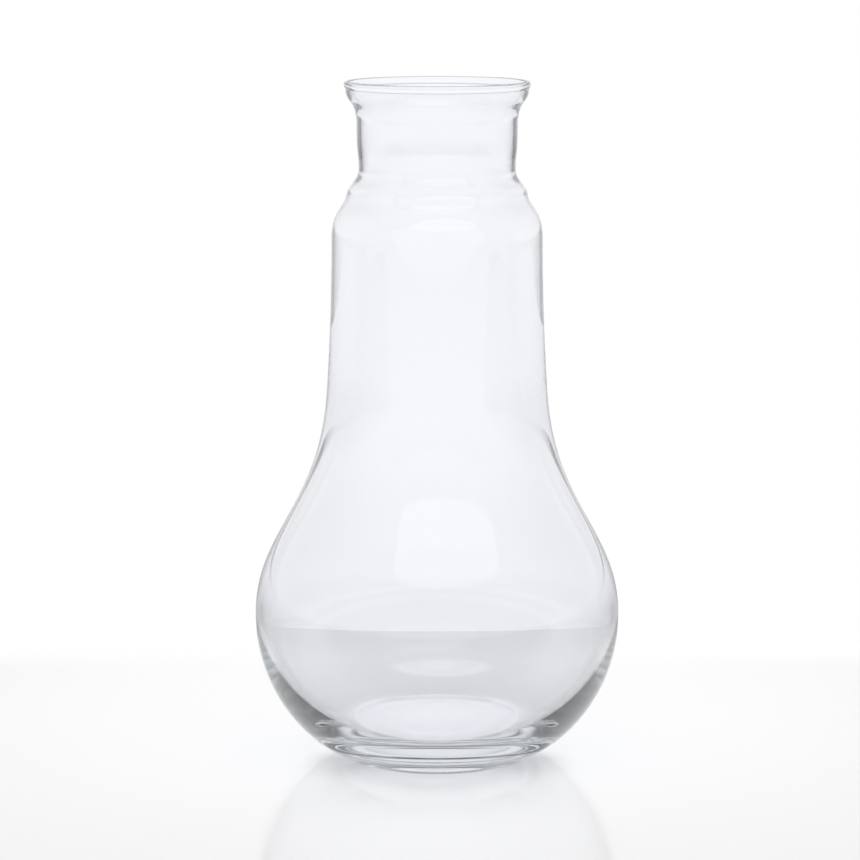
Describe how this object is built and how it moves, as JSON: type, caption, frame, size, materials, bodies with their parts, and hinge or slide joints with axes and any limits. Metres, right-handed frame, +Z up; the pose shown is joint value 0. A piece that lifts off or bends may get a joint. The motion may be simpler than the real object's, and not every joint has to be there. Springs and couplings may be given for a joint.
{
  "type": "hyacinth forcing vase",
  "caption": "Pear-shaped clear glass vase whose narrow throat, under a flared lip, holds a hyacinth bulb just above the water in the round body below.",
  "frame": {"origin": "middle of the foot ring, on the surface that the vase stands on", "axes": "+Z up along the axis of revolution, from the foot to the mouth; the vase is the same all round, so X and Y are free"},
  "size_m": [0.1238, 0.1238, 0.23],
  "materials": {
    "glass": "clear blown glass, fire polished, faintly blue-grey where it is thick"
  },
  "bodies": {
    "root": {"glass_vessel": "glass"}
  },
  "joints": []
}
